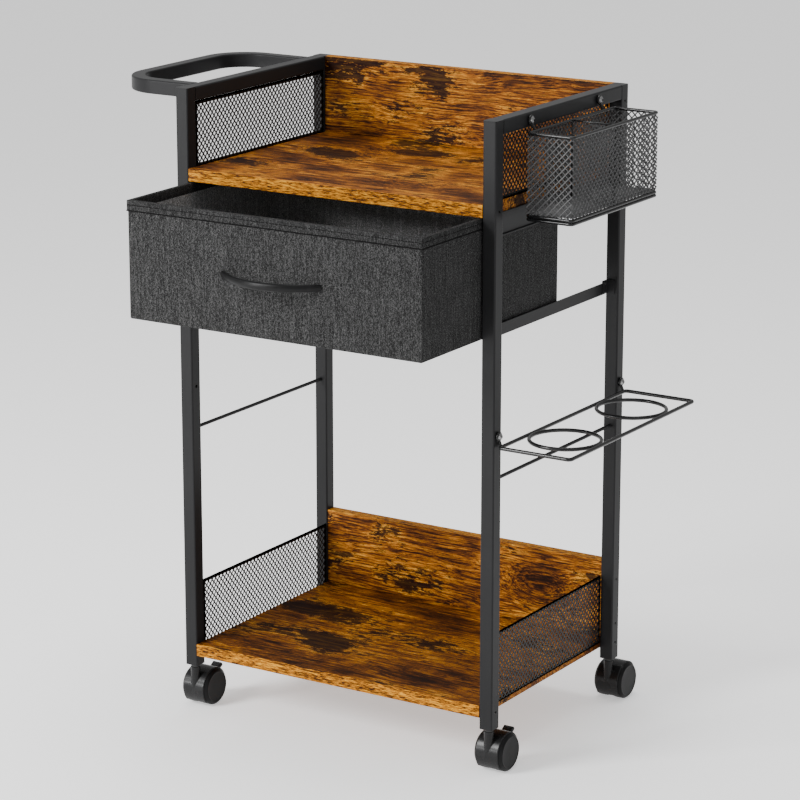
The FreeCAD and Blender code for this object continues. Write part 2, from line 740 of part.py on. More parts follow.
def make_pull_screws():
    """Round-headed screws that hold the pull from inside the drawer."""
    screws = []
    for side in (-1, 1):
        x = (centre_x + side * pull_screw_offset).value
        z = (drawer_bottom + pull_height).value
        seat = Vector(x, (drawer_front + drawer_wall).value, z)
        head = Part.makeCylinder(3.2, 1.6, seat, Vector(0, 1, 0))
        shank = Part.makeCylinder(pull_screw_radius.value, drawer_wall.value, seat, Vector(0, -1, 0))
        screws.append(head.fuse(shank).removeSplitter())
    group("pull_screws", screws)


# Casters

axle_height = wheel_radius


def caster_place(side, end):
    """Where a caster's axle lies at rest: behind its swivel, under its post."""
    x = centre_x + side * (frame_width - tube) / 2
    y = centre_y + end * (frame_depth - tube) / 2 + caster_trail
    return x, y


def make_stem_sockets():
    sockets, stems = [], []
    collar_radius, collar_low, collar_high = 5.4, -3.6, -1.4
    plug_side, plug_height, bore = 15.2, 19.0, stem_radius.value + 0.1
    for side, end in CORNERS.values():
        x = (centre_x + side * (frame_width - tube) / 2).value
        y = (centre_y + end * (frame_depth - tube) / 2).value
        foot = Vector(x, y, post_bottom.value)
        up = Vector(0, 0, 1)
        plug = Part.makeBox(plug_side, plug_side, plug_height, foot - Vector(plug_side / 2, plug_side / 2, 0))
        sockets.append(plug.cut(Part.makeCylinder(bore, plug_height, foot, up)))
        length = (stem_drop + stem_rise).value
        rod = Part.makeCylinder(stem_radius.value, length, foot - up * stem_drop.value, up)
        collar = Part.makeCylinder(collar_radius, collar_high - collar_low, foot + up * collar_low, up)
        stems.append(rod.fuse(collar).removeSplitter())
    group("stem_sockets", sockets)
    group("caster_stems", stems)


def make_hood(name, x, y, braked):
    """A hood around the wheels, with a web between them and a boss for the stem."""
    body = new_body(f"{name}_caster_hood", x, y, axle_height)
    drum = new_sketch(body, "YZ_Plane")
    circle(drum, 0, 0, hood_radius)
    disc = pad(body, drum, 2 * hood_half, midplane=True)
    round_edges(body, disc, hood_ease, lambda edge: edge.Curve.TypeId == "Part::GeomCircle")
    top = post_bottom - boss_top - axle_height
    boss = new_sketch(body, "XY_Plane", top)
    circle(boss, 0, -caster_trail, boss_radius)
    pad(body, boss, top, backwards=True)
    for side in (-1, 1):
        well = new_sketch(body, "YZ_Plane", side * web_half)
        circle(well, 0, 0, hood_inner)
        pocket(body, well, hood_half, forwards=side > 0)
    below = new_sketch(body, "YZ_Plane")
    reach = 2 * hood_radius
    polygon(below, [(-reach, -0.7 * hood_radius), (-0.45 * hood_radius, -0.66 * hood_radius),
                    (0.3 * hood_radius, -0.5 * hood_radius), (reach, -0.05 * hood_radius), (reach, -reach),
                    (-reach, -reach)])
    pocket(body, below, midplane=True)
    bore = new_sketch(body, "XY_Plane", top)
    circle(bore, 0, -caster_trail, stem_radius + running)
    pocket(body, bore, stem_drop - boss_top + 0.6)
    axle = new_sketch(body, "YZ_Plane")
    circle(axle, 0, 0, axle_radius + running)
    pocket(body, axle, midplane=True)
    if braked:
        cut_brake_slot(body)


# A brake lever turns about a pin in the web, above and behind the axle.
brake_pivot = (14, 12)
brake_pin = 1.5


def cut_brake_slot(body):
    """A slot through the web and the hood for the lever's arm, with its pin left across it."""
    slot = new_sketch(body, "YZ_Plane")
    polygon(slot, [(9, 9), (13, 7), (31, 12), (31, 30), (20, 30), (9.5, 16)])
    circle(slot, brake_pivot[0], brake_pivot[1], brake_pin)
    pocket(body, slot, 2 * brake_arm + 0.6, midplane=True)


def make_brake(name, x, y):
    """A tab behind the hood, pressed down to lock, on an arm that turns about the hood's pin."""
    body = new_body(f"{name}_brake_lever", x, y, axle_height)
    pivot_y, pivot_z = brake_pivot
    eye_radius = 3.2
    eye = new_sketch(body, "YZ_Plane")
    circle(eye, pivot_y, pivot_z, eye_radius)
    pad(body, eye, 2 * brake_arm, midplane=True)
    arm = new_sketch(body, "YZ_Plane")
    polygon(arm, [(14.5, 9.6), (25, 15), (24, 19.5), (12.8, 14.6)])
    pad(body, arm, 2 * brake_arm, midplane=True)
    tab = new_sketch(body, "YZ_Plane")
    polygon(tab, [(24.2, 13.6), (32.4, 18.4), (30, 22.6), (21.8, 17.8)])
    pad(body, tab, 2 * brake_half, midplane=True)
    hole = new_sketch(body, "YZ_Plane")
    circle(hole, pivot_y, pivot_z, brake_pin + running)
    pocket(body, hole, midplane=True)


def make_axle(name, x, y):
    body = new_body(f"{name}_caster_axle", x, y, axle_height)
    sketch = new_sketch(body, "YZ_Plane")
    circle(sketch, 0, 0, axle_radius)
    pad(body, sketch, 2 * axle_half, midplane=True)


def make_wheel(name, x, y, side):
    """A wheel with a bevelled outer rim, closed on the outside and bored from the inside."""
    hand = "outer" if side == CORNERS[name][0] else "inner"
    body = new_body(f"{name}_{hand}_wheel", x, y, axle_height)
    bore = axle_radius + running
    bore_end = axle_half + 0.3
    profile = new_sketch(body, "XZ_Plane")
    polygon(profile, [(side * wheel_inner, bore), (side * wheel_inner, wheel_radius - 1.2),
                      (side * (wheel_inner + 1.2), wheel_radius), (side * wheel_shoulder, wheel_radius),
                      (side * wheel_outer, wheel_face), (side * wheel_outer, 0), (side * bore_end, 0),
                      (side * bore_end, bore)])
    revolve(body, profile, "H_Axis")


def make_casters():
    for name, (side, end) in CORNERS.items():
        x, y = caster_place(side, end)
        braked = end < 0
        make_hood(name, x, y, braked)
        make_axle(name, x, y)
        for hand in (-1, 1):
            make_wheel(name, x, y, hand)
        if braked:
            make_brake(name, x, y)


def check_and_export():
    """Stops on any failed object, then writes each node to its own file."""
    doc.recompute()
    failed = [item.Label for item in doc.Objects if {"Invalid", "Error"} & set(item.State)]
    if failed:
        raise RuntimeError(f"objects that failed: {failed}")
    for node in nodes:
        if node.Shape.isNull() or not node.Shape.isValid() or not node.Shape.Solids:
            raise RuntimeError(f"{node.Label} has no valid solid")
    os.makedirs("parts", exist_ok=True)
    whole = FreeCAD.BoundBox()
    for node in nodes:
        node.Shape.exportStep(os.path.join("parts", node.Label + ".step"))
        whole.add(node.Shape.BoundBox)
    print(len(nodes), "nodes", whole)


make_posts()
make_top_rails()
make_brace_rods()
make_shelves()
make_back_boards()
make_board_screws()
make_mesh_panels()
make_upper_guides()
make_runners()
make_runner_brackets()
make_push_handle()
make_basket()
make_cup_holder()
make_hangers()
make_drawer()
make_drawer_pull()
make_pull_screws()
make_stem_sockets()
make_casters()
check_and_export()
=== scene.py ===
import json
import math

import bmesh
import bpy
from mathutils import Matrix, Vector


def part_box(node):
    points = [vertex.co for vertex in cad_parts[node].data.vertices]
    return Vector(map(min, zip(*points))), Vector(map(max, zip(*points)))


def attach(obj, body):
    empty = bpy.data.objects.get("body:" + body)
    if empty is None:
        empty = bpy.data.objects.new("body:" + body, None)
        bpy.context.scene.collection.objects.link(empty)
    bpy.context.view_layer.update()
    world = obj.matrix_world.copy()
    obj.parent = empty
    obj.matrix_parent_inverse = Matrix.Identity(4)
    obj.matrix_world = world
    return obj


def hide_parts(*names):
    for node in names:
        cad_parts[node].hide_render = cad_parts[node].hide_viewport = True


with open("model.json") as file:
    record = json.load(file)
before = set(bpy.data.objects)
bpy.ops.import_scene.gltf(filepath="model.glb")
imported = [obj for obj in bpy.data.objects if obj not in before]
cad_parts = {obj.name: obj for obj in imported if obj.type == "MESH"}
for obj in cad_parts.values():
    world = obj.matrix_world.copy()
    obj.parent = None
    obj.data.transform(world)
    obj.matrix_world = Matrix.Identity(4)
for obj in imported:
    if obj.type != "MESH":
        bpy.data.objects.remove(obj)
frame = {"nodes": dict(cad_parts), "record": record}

MM = 0.001
X, Y, Z = Vector((1, 0, 0)), Vector((0, 1, 0)), Vector((0, 0, 1))
CORNERS = ["front_left", "front_right", "rear_left", "rear_right"]
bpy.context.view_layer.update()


# Shader graphs


class Val:
    """A shader value that can be used in arithmetic."""

    def __init__(self, graph, socket):
        self.graph = graph
        self.socket = socket

    def __add__(self, other):
        return self.graph.math("ADD", self, other)

    def __sub__(self, other):
        return self.graph.math("SUBTRACT", self, other)

    def __rsub__(self, other):
        return self.graph.math("SUBTRACT", other, self)

    def __mul__(self, other):
        return self.graph.math("MULTIPLY", self, other)

    __radd__ = __add__
    __rmul__ = __mul__


class Graph:
    """A material with one Principled shader and the nodes that feed it."""

    def __init__(self, name):
        self.material = bpy.data.materials.new(name)
        self.material.use_nodes = True
        self.tree = self.material.node_tree
        self.tree.nodes.clear()
        self.shader = self.tree.nodes.new("ShaderNodeBsdfPrincipled")
        output = self.tree.nodes.new("ShaderNodeOutputMaterial")
        self.tree.links.new(self.shader.outputs[0], output.inputs["Surface"])
        place = self.tree.nodes.new("ShaderNodeTexCoord")
        self.place = Val(self, place.outputs["Object"])
        self.normal = Val(self, place.outputs["Normal"])

    def feed(self, socket, value):
        if isinstance(value, Val):
            self.tree.links.new(value.socket, socket)
        else:
            socket.default_value = value

    def node(self, kind, settings, sockets, output=0):
        """Makes a node of any kind and returns one of its outputs."""
        made = self.tree.nodes.new("ShaderNode" + kind)
        for name, value in settings.items():
            setattr(made, name, value)
        for name, value in sockets.items():
            self.feed(made.inputs[name], value)
        return Val(self, made.outputs[output])

    def math(self, operation, *values):
        return self.node("Math", {"operation": operation}, dict(enumerate(values)))

    def split(self, vector):
        node = self.tree.nodes.new("ShaderNodeSeparateXYZ")
        self.feed(node.inputs[0], vector)
        return [Val(self, output) for output in node.outputs]

    def stretch(self, vector, scale, shift=(0, 0, 0)):
        settings = {"operation": "MULTIPLY_ADD"}
        return self.node("VectorMath", settings, {0: vector, 1: scale, 2: shift})

    def noise(self, vector, detail, roughness=0.5):
        sockets = {"Vector": vector, "Scale": 1.0, "Detail": detail, "Roughness": roughness}
        return self.node("TexNoise", {}, sockets)

    def smooth(self, value, low, high):
        """0 below low, 1 above high, and a smooth step between them."""
        sockets = {"Value": value, "From Min": low, "From Max": high}
        return self.node("MapRange", {"interpolation_type": "SMOOTHSTEP"}, sockets)

    def mix(self, factor, first, second):
        settings = {"data_type": "RGBA", "clamp_factor": True}
        return self.node("Mix", settings, {0: factor, 6: first, 7: second}, output=2)

    def tones(self, value, stops):
        """Colours blended from a list of (position, colour)."""
        colour = stops[0][1]
        for (low, _), (high, following) in zip(stops, stops[1:]):
            colour = self.mix(self.smooth(value, low, high), colour, following)
        return colour

    def bump(self, height, distance):
        sockets = {"Height": height, "Distance": distance, "Strength": 1.0}
        return self.node("Bump", {}, sockets)

    def set(self, **inputs):
        """Sets the shader's inputs by name, with underscores for spaces."""
        for name, value in inputs.items():
            self.feed(self.shader.inputs[name.replace("_", " ")], value)
        return self.material


def grey(value, tint=1.0):
    """A grey, with its blue scaled by the tint."""
    return (value, value, value * tint, 1.0)


def powder_coat(name, shade, roughness, gloss):
    """Satin black paint with a faint orange peel and slightly uneven gloss."""
    graph = Graph(name)
    peel = graph.noise(graph.stretch(graph.place, (900, 900, 900)), detail=2)
    cloud = graph.noise(graph.stretch(graph.place, (14, 14, 14)), detail=3)
    return graph.set(
        Base_Color=graph.mix(cloud, grey(shade * 0.85, 1.04), grey(shade * 1.2, 1.04)),
        Roughness=roughness + (cloud - 0.5) * 0.12,
        Specular_IOR_Level=gloss,
        Normal=graph.bump(peel, 0.02 * MM),
    )


def plastic(name, shade, roughness, gloss=0.12):
    """Moulded plastic with a fine spark-eroded grain and scuffed patches."""
    graph = Graph(name)
    grain = graph.noise(graph.stretch(graph.place, (1600, 1600, 1600)), detail=2)
    scuffs = graph.smooth(graph.noise(graph.stretch(graph.place, (90, 90, 90)), detail=4), 0.5, 0.75)
    return graph.set(
        Base_Color=graph.mix(scuffs, grey(shade, 1.03), grey(shade * 1.35, 1.03)),
        Roughness=roughness + scuffs * 0.1,
        Specular_IOR_Level=gloss,
        Normal=graph.bump(grain, 0.02 * MM),
    )


def metal(name, shade, roughness):
    """Bare metal with fine turned or drawn marks."""
    graph = Graph(name)
    marks = graph.noise(graph.stretch(graph.place, (2500, 2500, 400)), detail=3)
    return graph.set(
        Base_Color=graph.mix(marks, grey(shade * 0.8), grey(shade)),
        Metallic=1.0,
        Roughness=roughness + (marks - 0.5) * 0.15,
        Normal=graph.bump(marks, 0.01 * MM),
    )


# Colours of the boards' faces and edge bands, each at the tone where it is reached
FACE_TONES = [
    (0.26, (0.012, 0.0036, 0.0015, 1)),
    (0.41, (0.060, 0.0165, 0.003, 1)),
    (0.53, (0.190, 0.056, 0.006, 1)),
    (0.64, (0.430, 0.148, 0.012, 1)),
    (0.80, (0.800, 0.370, 0.040, 1)),
]
BAND_TONES = [
    (0.38, (0.02, 0.006, 0.001, 1)),
    (0.46, (0.14, 0.044, 0.002, 1)),
    (0.53, (0.42, 0.150, 0.006, 1)),
    (0.66, (0.66, 0.310, 0.02, 1)),
]
BURNT_WOOD = (0.012, 0.0030, 0.0020, 1)
PORE_BROWN = (0.014, 0.005, 0.002, 1)


def rustic_wood(name, seed, edge_axis):
    """Brown laminate with streaked grain along X, burnt patches and knots, and paler edge bands.

    edge_axis is the axis, 1 for Y or 2 for Z, that the board's paler edges face.
    """
    graph = Graph(name)
    spot = graph.stretch(graph.place, (1, 1, 1), (seed, seed * 0.7, seed * 0.3))
    wave = graph.noise(graph.stretch(spot, (4.0, 8, 8)), detail=3) - 0.5
    x, y, z = graph.split(spot)
    knot_place = graph.node("CombineXYZ", {}, {0: x * 3.3, 1: (y + z) * 8.5 + wave * 0.5, 2: seed})
    knot = graph.node("TexVoronoi", {"feature": "F1"},
                      {"Vector": knot_place, "Scale": 1.0, "Randomness": 1.0})
    eye = 1.0 - graph.smooth(knot, 0.02, 0.26)
    bent_y = y + wave * 0.035 + eye * 0.018
    bent_z = z + wave * 0.035 + eye * 0.018

    def along_grain(along, across, detail, roughness):
        """Noise drawn out along the grain, which bends round the knots."""
        place = graph.node("CombineXYZ", {}, {0: x * along, 1: bent_y * across, 2: bent_z * across})
        return graph.noise(place, detail, roughness)

    streaks = along_grain(6, 130, 6, 0.72)
    fibres = along_grain(22, 520, 4, 0.75)
    char = along_grain(60, 240, 5, 0.8)
    cloud = graph.noise(graph.stretch(spot, (8, 14, 14)), detail=5, roughness=0.55)
    tone = (streaks - 0.5) * 0.65 + (fibres - 0.5) * 1.7 + (cloud - 0.5) * 1.1 + 0.53
    face = graph.tones(tone, FACE_TONES)
    burnt = graph.smooth(cloud + (streaks - 0.5) * 0.35 + (char - 0.5) * 0.55 + eye * 0.18, 0.55, 0.62)
    face = graph.mix(burnt * (1.22 - streaks * 0.5), face, BURNT_WOOD)
    pores = graph.smooth(fibres + (char - 0.5) * 0.3, 0.56, 0.64)
    face = graph.mix(pores * 0.75, face, PORE_BROWN)
    band_grain = graph.noise(graph.stretch(spot, (110, 900, 900)), detail=4, roughness=0.7)
    band = graph.tones(band_grain + (streaks - 0.5) * 0.3, BAND_TONES)
    side = graph.split(graph.normal)[edge_axis]
    on_edge = graph.smooth(graph.math("ABSOLUTE", side), 0.6, 0.8)
    return graph.set(
        Base_Color=graph.mix(on_edge, face, band),
        Roughness=0.42 + fibres * 0.25,
        Specular_IOR_Level=0.08,
        Normal=graph.bump(fibres + streaks * 0.5, 0.15 * MM),
    )


def linen(name, dark, light, seed=0.0):
    """Melange cloth: uneven pale threads over dark ones, upright and level."""
    graph = Graph(name)
    spot = graph.stretch(graph.place, (1, 1, 1), (seed, seed, seed))
    upright = graph.noise(graph.stretch(spot, (1500, 1500, 420)), detail=2, roughness=0.8)
    level = graph.noise(graph.stretch(spot, (420, 420, 1500)), detail=2, roughness=0.8)
    specks = graph.noise(graph.stretch(spot, (1900, 1900, 1500)), detail=2, roughness=0.9)
    slubs = graph.noise(graph.stretch(spot, (420, 420, 24)), detail=3)
    thread = upright * 0.35 + level * 0.25 + specks * 0.4 + (slubs - 0.5) * 0.10
    x, y, z = graph.split(graph.place)
    weave = (graph.math("SINE", (x + y) * 5200) * graph.math("SINE", z * 5200)) * 0.5 + 0.5
    threads = [(0.45, grey(dark)), (0.52, grey((dark + light) * 0.25)), (0.59, grey(light))]
    return graph.set(
        Base_Color=graph.tones(thread, threads),
        Roughness=0.95,
        Specular_IOR_Level=0.1,
        Normal=graph.bump(thread + weave * 0.4, 0.3 * MM),
    )


# Building pieces


def add_piece(name, bm, material, body, smooth=True):
    """Turns a mesh under construction into a finished piece that rides on a body."""
    bmesh.ops.recalc_face_normals(bm, faces=bm.faces)
    mesh = bpy.data.meshes.new(name)
    bm.to_mesh(mesh)
    bm.free()
    piece = bpy.data.objects.new(name, mesh)
    bpy.context.scene.collection.objects.link(piece)
    piece.data.materials.append(material)
    if smooth:
        mesh.shade_smooth()
        mesh.set_sharp_from_angle(angle=math.radians(32))
    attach(piece, body)
    return piece


def add_wires(name, lines, radius, material, body, rounding=1):
    """Round wires along lines of points, as one curve."""
    curve = bpy.data.curves.new(name, "CURVE")
    curve.dimensions = "3D"
    curve.bevel_depth = radius
    curve.bevel_resolution = rounding
    curve.use_fill_caps = True
    for line in lines:
        spline = curve.splines.new("POLY")
        spline.points.add(len(line) - 1)
        for point, place in zip(spline.points, line):
            point.co = (*place, 1.0)
    piece = bpy.data.objects.new(name, curve)
    bpy.context.scene.collection.objects.link(piece)
    curve.materials.append(material)
    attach(piece, body)
    return piece


def round_edges(bm, edges, offset, segments):
    bmesh.ops.bevel(bm, geom=edges, offset=offset, segments=segments, affect="EDGES", profile=0.5,
                    material=-1)


def add_box(bm, low, high, bevel=0.0, segments=2):
    """A box between two corners, with rounded edges if a bevel is given."""
    low, high = Vector(low), Vector(high)
    middle = Matrix.Translation((low + high) / 2) @ Matrix.Diagonal((high - low).to_4d())
    verts = bmesh.ops.create_cube(bm, size=1, matrix=middle)["verts"]
    if bevel:
        edges = list({edge for vert in verts for edge in vert.link_edges})
        round_edges(bm, edges, bevel, segments)


def open_box(low, high, rounding, thickness):
    """A box without a lid, with rounded edges and walls of the given thickness."""
    bm = bmesh.new()
    add_box(bm, low, high)
    lid = [face for face in bm.faces if face.normal.z > 0.9]
    bmesh.ops.delete(bm, geom=lid, context="FACES")
    round_edges(bm, [edge for edge in bm.edges if not edge.is_boundary], rounding, 3)
    bmesh.ops.solidify(bm, geom=bm.faces[:], thickness=thickness)
    return bm


def flat_ring(place, width, context):
    """A square ring, made by an inset, as a mesh and the corners of its hole."""
    bm = bmesh.new()
    bmesh.ops.create_grid(bm, x_segments=1, y_segments=1, size=0.5, matrix=place)
    ring = bmesh.ops.inset_individual(bm, faces=bm.faces[:], thickness=width, use_even_offset=True)
    hole = [face for face in bm.faces if face not in set(ring["faces"])]
    corners = list(hole[0].verts)
    bmesh.ops.delete(bm, geom=hole, context=context)
    return bm, corners


def spun(profile, centre, steps=64):
    """A full turn of a profile of (along the axis, radius) points about the X axis through the centre."""
    bm = bmesh.new()
    verts = [bm.verts.new(centre + Vector((along, 0, radius))) for along, radius in profile]
    edges = [bm.edges.new(pair) for pair in zip(verts, verts[1:])]
    bmesh.ops.spin(bm, geom=verts + edges, cent=centre, axis=X, angle=2 * math.pi, steps=steps,
                   use_merge=True)
    bmesh.ops.remove_doubles(bm, verts=bm.verts, dist=1e-6)
    return bm


# Side panels of expanded metal

CELL_LONG = 8.0 * MM
CELL_TALL = 9.0 * MM
STRAND = 1.25 * MM
SHEET_THICKNESS = 0.7 * MM
PANEL_BORDER = 5.0 * MM
BORDER_ROUNDING = 3.0 * MM


def expanded_sheet(bm, low, high):
    """Diamond mesh in the YZ plane, trimmed to the corners' Y and Z."""
    middle = (low + high) / 2
    span = (high.y - low.y) / CELL_LONG + (high.z - low.z) / CELL_TALL
    cells = 2 * math.ceil(span / 2) + 2
    side = 1 / math.sqrt(2)
    turn = Matrix.Rotation(math.radians(45), 4, "Z")
    stand = Matrix(((0, 0, 1, 0), (1, 0, 0, 0), (0, 1, 0, 0), (0, 0, 0, 1)))
    place = Matrix.Translation(middle) @ Matrix.Diagonal((1, CELL_LONG, CELL_TALL, 1)) @ stand @ turn
    bmesh.ops.create_grid(bm, x_segments=cells, y_segments=cells, size=cells * side / 2, matrix=place)
    margin = CELL_TALL
    for vert in list(bm.verts):
        outside_y = not low.y - margin < vert.co.y < high.y + margin
        outside_z = not low.z - margin < vert.co.z < high.z + margin
        if outside_y or outside_z:
            bm.verts.remove(vert)
    holes = bmesh.ops.inset_individual(bm, faces=bm.faces, thickness=STRAND)
    inner = [face for face in bm.faces if face not in set(holes["faces"])]
    bmesh.ops.delete(bm, geom=inner, context="FACES")
    for corner, way in ((low, -Y), (low, -Z), (high, Y), (high, Z)):
        bmesh.ops.bisect_plane(bm, geom=bm.verts[:] + bm.edges[:] + bm.faces[:], plane_co=corner,
                               plane_no=way, clear_outer=True)


def side_panel(node):
    """Expanded metal in a flat border whose hole has round corners."""
    low, high = (Vector(corner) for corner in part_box(node))
    inset = Vector((0, PANEL_BORDER * 0.5, PANEL_BORDER * 0.5))
    bm = bmesh.new()
    expanded_sheet(bm, low + inset, high - inset)
    bmesh.ops.solidify(bm, geom=bm.faces[:], thickness=SHEET_THICKNESS)
    add_piece(node + "_mesh", bm, MESH_PAINT, "frame", smooth=False)
    flat = Matrix.Translation((low + high) / 2) @ Matrix.Rotation(math.radians(90), 4, "Y")
    size = Matrix.Diagonal((high.z - low.z, high.y - low.y, 1, 1))
    bm, corners = flat_ring(flat @ size, PANEL_BORDER, "FACES_ONLY")
    bmesh.ops.bevel(bm, geom=corners, offset=BORDER_ROUNDING, segments=4, affect="VERTICES",
                    profile=0.5, material=-1)
    for vert in bm.verts:
        vert.co.x = low.x
    bmesh.ops.solidify(bm, geom=bm.faces[:], thickness=high.x - low.x)
    for vert in bm.verts:
        vert.co.x = min(max(vert.co.x, low.x), high.x)
    border = add_piece(node + "_border", bm, MESH_PAINT, "frame")
    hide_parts(node)


# Woven basket

WEAVE_CELL = 8.6 * MM
WEAVE_WIRE = 0.85 * MM
WEAVE_INSET = 0.6 * MM
DIVIDER_WIRE = 1.5 * MM
DIVIDER_INSET = 1.0 * MM


def woven(corner, along, up, length, height):
    """Straight wires at 45 degrees each way over a rectangle, one layer on the other."""
    normal = along.cross(up)
    lines = []
    for hand in (1, -1):
        layer = normal * (0.45 * WEAVE_WIRE * hand)
        for number in range(-math.ceil(height / WEAVE_CELL), math.ceil(length / WEAVE_CELL) + 1):
            foot = number * WEAVE_CELL
            low = max(0.0, -foot)
            high = min(height, length - foot)
            if high - low > 0.5 * WEAVE_CELL:
                ends = [(foot + rise, rise if hand > 0 else height - rise) for rise in (low, high)]
                lines.append([corner + along * u + up * v + layer for u, v in ends])
    return lines


def make_basket():
    low, high = (Vector(corner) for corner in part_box("basket_mesh"))
    inset = Vector((WEAVE_INSET, WEAVE_INSET, 0))
    low, high = low + inset, high - inset
    size = high - low
    foot = low + Z * WEAVE_INSET
    top = size.z - WEAVE_INSET
    lines = woven(foot, X, Z, size.x, top)
    lines += woven(foot + Y * size.y, X, Z, size.x, top)
    lines += woven(foot, Y, Z, size.y, top)
    lines += woven(foot + X * size.x, Y, Z, size.y, top)
    lines += woven(foot, X, Y, size.x, size.y)
    weave = add_wires("basket_weave", lines, WEAVE_WIRE, WEAVE_PAINT, "frame")
    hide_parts("basket_mesh")
    first, last = (Vector(corner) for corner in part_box("basket_divider"))
    middle = (first.y + last.y) / 2
    start = Vector((low.x, middle, foot.z))
    lines = woven(start, X, Z, size.x, top)
    add_wires("divider_weave", lines, WEAVE_WIRE, WEAVE_PAINT, "frame")
    rim_low, rim_high = (Vector(corner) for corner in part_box("basket_top_rim"))
    level = (rim_low.z + rim_high.z) / 2
    left, right, floor = low.x + DIVIDER_INSET, high.x - DIVIDER_INSET, low.z + DIVIDER_INSET
    edge = [(left, middle, floor), (left, middle, level), (right, middle, level), (right, middle, floor)]
    rim = add_wires("divider_rim", [edge], DIVIDER_WIRE, WIRE_PAINT, "frame", rounding=4)
    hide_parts("basket_divider")


# Fabric drawer

DRAWER_WALL = 4.0 * MM
LINING_SKIN = 0.3 * MM
HEM_DEPTH = 12.0 * MM
HEM_PROUD = 0.7 * MM
HEM_RISE = 0.5 * MM
STITCH_DROP = 5.2 * MM
STITCH_PITCH = 4.6 * MM
STITCH_GAP = 1.5 * MM
STITCH_BOW = 0.05 * MM
STITCH_RADIUS = 0.5 * MM
# The line just below the hem's foot is painted shadow: a dark wire where the hem's small step would shade the
# cloth.
PAINTED_SHADOW_DROP = HEM_DEPTH + 0.4 * MM
PAINTED_SHADOW_RADIUS = 0.75 * MM


def make_drawer():
    """A cloth tray with a lining, a folded hem round its top, and the hem's stitches."""
    low = Vector(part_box("drawer_front_panel")[0])
    high = Vector(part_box("drawer_back_panel")[1])
    bm = open_box(low, high, 2.2 * MM, DRAWER_WALL)
    cloth = add_piece("drawer_cloth", bm, CLOTH, "drawer")
    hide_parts("drawer_front_panel", "drawer_back_panel", "drawer_left_panel", "drawer_right_panel",
                "drawer_bottom_panel")
    step = DRAWER_WALL + LINING_SKIN
    bm = open_box(low + Vector((step, step, step)), high - Vector((step, step, 0)), 2.0 * MM, LINING_SKIN)
    add_piece("drawer_lining", bm, LINING, "drawer")
    spread = Vector((HEM_PROUD, HEM_PROUD, 0))
    foot = (low + high) / 2
    foot.z = high.z - HEM_DEPTH
    size = high - low + 2 * spread
    place = Matrix.Translation(foot) @ Matrix.Diagonal((size.x, size.y, 1, 1))
    bm, _ = flat_ring(place, DRAWER_WALL + 2 * HEM_PROUD, "FACES")
    raised = bmesh.ops.extrude_face_region(bm, geom=bm.faces[:])
    verts = [item for item in raised["geom"] if isinstance(item, bmesh.types.BMVert)]
    bmesh.ops.translate(bm, verts=verts, vec=(0, 0, HEM_DEPTH + HEM_RISE))
    bmesh.ops.recalc_face_normals(bm, faces=bm.faces)
    round_edges(bm, [edge for edge in bm.edges if edge.calc_face_angle(0) > 1], 0.7 * MM, 3)
    add_piece("drawer_hem", bm, HEM_CLOTH, "drawer")
    add_stitches(low - spread, high + spread)


def add_stitches(low, high):
    """Running stitches round the hem, half sunk in the cloth, and a dark line along its foot that is painted
    shadow under the hem's step.
    """
    lines = []
    shadow_line = []
    level = high.z - STITCH_DROP
    drop = Z * (STITCH_DROP - PAINTED_SHADOW_DROP)
    corners = [Vector((low.x, low.y, level)), Vector((high.x, low.y, level)),
               Vector((high.x, high.y, level)), Vector((low.x, high.y, level))]
    for start, end in zip(corners, corners[1:] + corners[:1]):
        shadow_line.append([start + drop, end + drop])
        way = (end - start).normalized()
        count = int((end - start).length / STITCH_PITCH)
        for number in range(count):
            first = start + way * (number * STITCH_PITCH + STITCH_GAP)
            last = first + way * (STITCH_PITCH - STITCH_GAP)
            lines.append([first, (first + last) / 2 + Z * STITCH_BOW, last])
    add_wires("drawer_stitches", lines, STITCH_RADIUS, THREAD_AND_PAINTED_SHADE, "drawer")
    # Painted shadow: a dark wire along the hem's foot.
    add_wires("drawer_hem_painted_shadow", shadow_line, PAINTED_SHADOW_RADIUS, THREAD_AND_PAINTED_SHADE, "drawer")


PULL_HALF_TALL = 5.0 * MM
PULL_HALF_DEEP = 3.0 * MM
PULL_END = 3.4 * MM
TAPER_START = 0.45
TAPER = 0.42


def make_pull():
    """An arched bar with an oval section that thins towards its ends."""
    low, high = (Vector(corner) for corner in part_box("drawer_pull"))
    face = Vector(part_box("drawer_front_panel")[0]).y
    middle = Vector(((low.x + high.x) / 2, face, (low.z + high.z) / 2))
    half = (high.x - low.x) / 2 - PULL_END
    rise = face - low.y - PULL_HALF_DEEP
    radius = (half * half + rise * rise) / (2 * rise)
    centre = middle + Vector((0, radius - rise, 0))
    swing = math.asin(half / radius)
    spot = Matrix.Translation(centre) @ Matrix.Rotation(-swing, 4, "Z") @ Matrix.Translation((0, -radius, 0))
    oval = Matrix.Rotation(math.radians(90), 4, "Y") @ Matrix.Diagonal((PULL_HALF_TALL, PULL_HALF_DEEP, 1, 1))
    bm = bmesh.new()
    bmesh.ops.create_circle(bm, segments=20, radius=1, matrix=spot @ oval)
    bmesh.ops.spin(bm, geom=bm.verts[:] + bm.edges[:], cent=centre, axis=Z, angle=2 * swing, steps=40)
    for vert in bm.verts:
        reach = abs(vert.co.x - middle.x) / half
        shrink = 1 - TAPER * max(0.0, reach - TAPER_START) ** 1.5
        vert.co.z = middle.z + (vert.co.z - middle.z) * shrink
    bmesh.ops.holes_fill(bm, edges=[edge for edge in bm.edges if edge.is_boundary])
    pull = add_piece("pull_bar", bm, PULL, "drawer")
    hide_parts("drawer_pull")


# Casters

